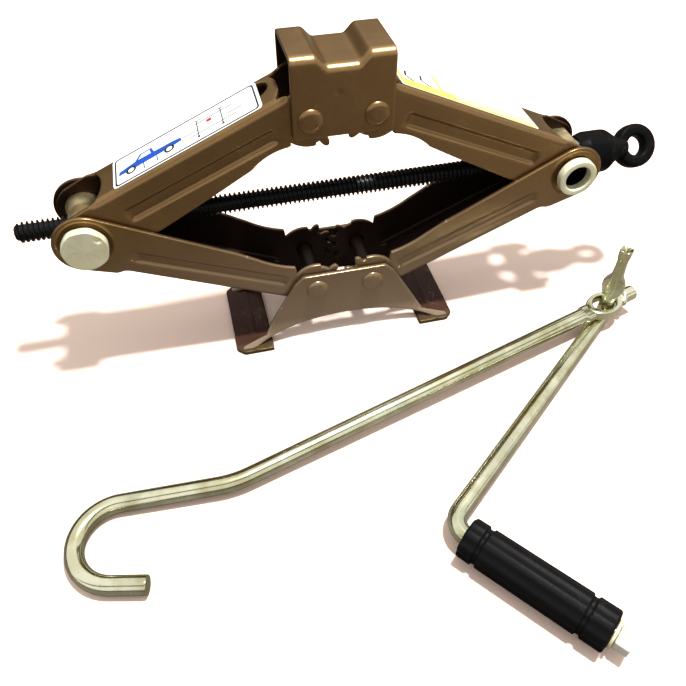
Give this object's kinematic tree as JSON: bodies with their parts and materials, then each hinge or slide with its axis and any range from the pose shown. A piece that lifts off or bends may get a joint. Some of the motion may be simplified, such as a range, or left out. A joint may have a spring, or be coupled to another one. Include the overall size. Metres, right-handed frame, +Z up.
{
  "type": "scissor jack with crank handle",
  "caption": "Scissor jack: four folded steel arms between a stool base and a saddle cap, closed by a long screw, with a hooked folding crank handle on the ground beside it.",
  "frame": {"origin": "on the ground under the middle of the base", "axes": "+X along the screw towards the drive eye, -Y the front, +Z up"},
  "size_m": [0.429, 0.3257, 0.202],
  "materials": {
    "painted_steel": "glossy bronze-brown paint",
    "label_film": "glossy printed film",
    "zinc_plate": "pale yellow zinc plate",
    "zinc_rod": "drawn rod, pale yellow zinc plate",
    "black_oxide": "oiled black oxide",
    "bearing_steel": "ground bearing steel",
    "black_plastic": "satin black plastic"
  },
  "bodies": {
    "base": {"base": "painted_steel", "base_rivets": "painted_steel"},
    "lower_arm_left": {"lower_arm_left": "painted_steel"},
    "lower_arm_right": {"lower_arm_right": "painted_steel"},
    "upper_arm_left": {"upper_arm_left": "painted_steel", "label_left": "label_film"},
    "upper_arm_right": {"upper_arm_right": "painted_steel", "label_right": "label_film"},
    "saddle": {"saddle": "painted_steel", "saddle_rivets": "painted_steel"},
    "nut_trunnion": {"nut_trunnion": "zinc_plate", "nut_head": "zinc_plate", "nut_retainer": "zinc_plate"},
    "bearing_trunnion": {"bearing_trunnion": "zinc_plate", "bearing_collar": "zinc_plate", "bearing_retainer": "zinc_plate", "thrust_race_fixed": "bearing_steel"},
    "lead_screw": {"lead_screw": "black_oxide", "drive_eye": "black_oxide", "bearing_cup": "black_oxide", "thrust_race_turning": "bearing_steel", "thrust_balls": "bearing_steel"},
    "hook_rod": {"hook_rod": "zinc_rod"},
    "crank": {"crank_rod": "zinc_rod", "grip_washer": "zinc_rod", "grip_retaining_head": "zinc_rod"},
    "grip": {"grip": "black_plastic"}
  },
  "joints": [
    {"name": "lower_left_pivot", "type": "hinge", "parent": "base", "child": "lower_arm_left", "pos_m": [-0.0195, 0, 0.042], "axis": [0, 1, 0], "range_deg": [-18, 45]},
    {"name": "upper_left_pivot", "type": "hinge", "parent": "lower_arm_left", "child": "upper_arm_left", "pos_m": [-0.15836, 0, 0.10382], "axis": [0, 1, 0], "range_deg": [-90, 36]},
    {"name": "saddle_pivot", "type": "hinge", "parent": "upper_arm_left", "child": "saddle", "pos_m": [-0.0195, 0, 0.16565], "axis": [0, 1, 0], "range_deg": [-18, 45]},
    {"name": "nut_pivot", "type": "hinge", "parent": "lower_arm_left", "child": "nut_trunnion", "pos_m": [-0.15836, 0, 0.10382], "axis": [0, 1, 0], "range_deg": [-45, 18]},
    {"name": "lower_right_pivot", "type": "hinge", "parent": "base", "child": "lower_arm_right", "pos_m": [0.0195, 0, 0.042], "axis": [0, 1, 0], "range_deg": [-45, 18]},
    {"name": "upper_right_pivot", "type": "hinge", "parent": "lower_arm_right", "child": "upper_arm_right", "pos_m": [0.15836, 0, 0.10382], "axis": [0, 1, 0], "range_deg": [-36, 90]},
    {"name": "bearing_pivot", "type": "hinge", "parent": "lower_arm_right", "child": "bearing_trunnion", "pos_m": [0.15836, 0, 0.10382], "axis": [0, 1, 0], "range_deg": [-18, 45]},
    {"name": "screw_turn", "type": "hinge", "parent": "bearing_trunnion", "child": "lead_screw", "pos_m": [0.15836, 0, 0.10382], "axis": [1, 0, 0], "range_deg": [-6282.31, 16260.1]},
    {"name": "handle_lift", "type": "slide", "parent": "base", "child": "hook_rod", "axis": [0, 0, 1], "range_m": [0, 0.1]},
    {"name": "crank_fold", "type": "hinge", "parent": "hook_rod", "child": "crank", "pos_m": [0.1858, -0.0638, 0.0055], "axis": [0.0234, 0.0183, 0.9996], "range_deg": [0, 125]},
    {"name": "grip_spin", "type": "hinge", "parent": "crank", "child": "grip", "pos_m": [0.016, -0.202, 0.012], "axis": [0.6159, -0.7878, 0], "continuous": true}
  ],
  "couplings": [
    {"joint": "lower_left_pivot", "follows": "screw_turn", "ratio": 0.002706},
    {"joint": "upper_left_pivot", "follows": "screw_turn", "ratio": -0.005412},
    {"joint": "saddle_pivot", "follows": "screw_turn", "ratio": 0.002706},
    {"joint": "nut_pivot", "follows": "screw_turn", "ratio": -0.002706},
    {"joint": "lower_right_pivot", "follows": "screw_turn", "ratio": -0.002706},
    {"joint": "upper_right_pivot", "follows": "screw_turn", "ratio": 0.005412},
    {"joint": "bearing_pivot", "follows": "screw_turn", "ratio": 0.002706}
  ]
}
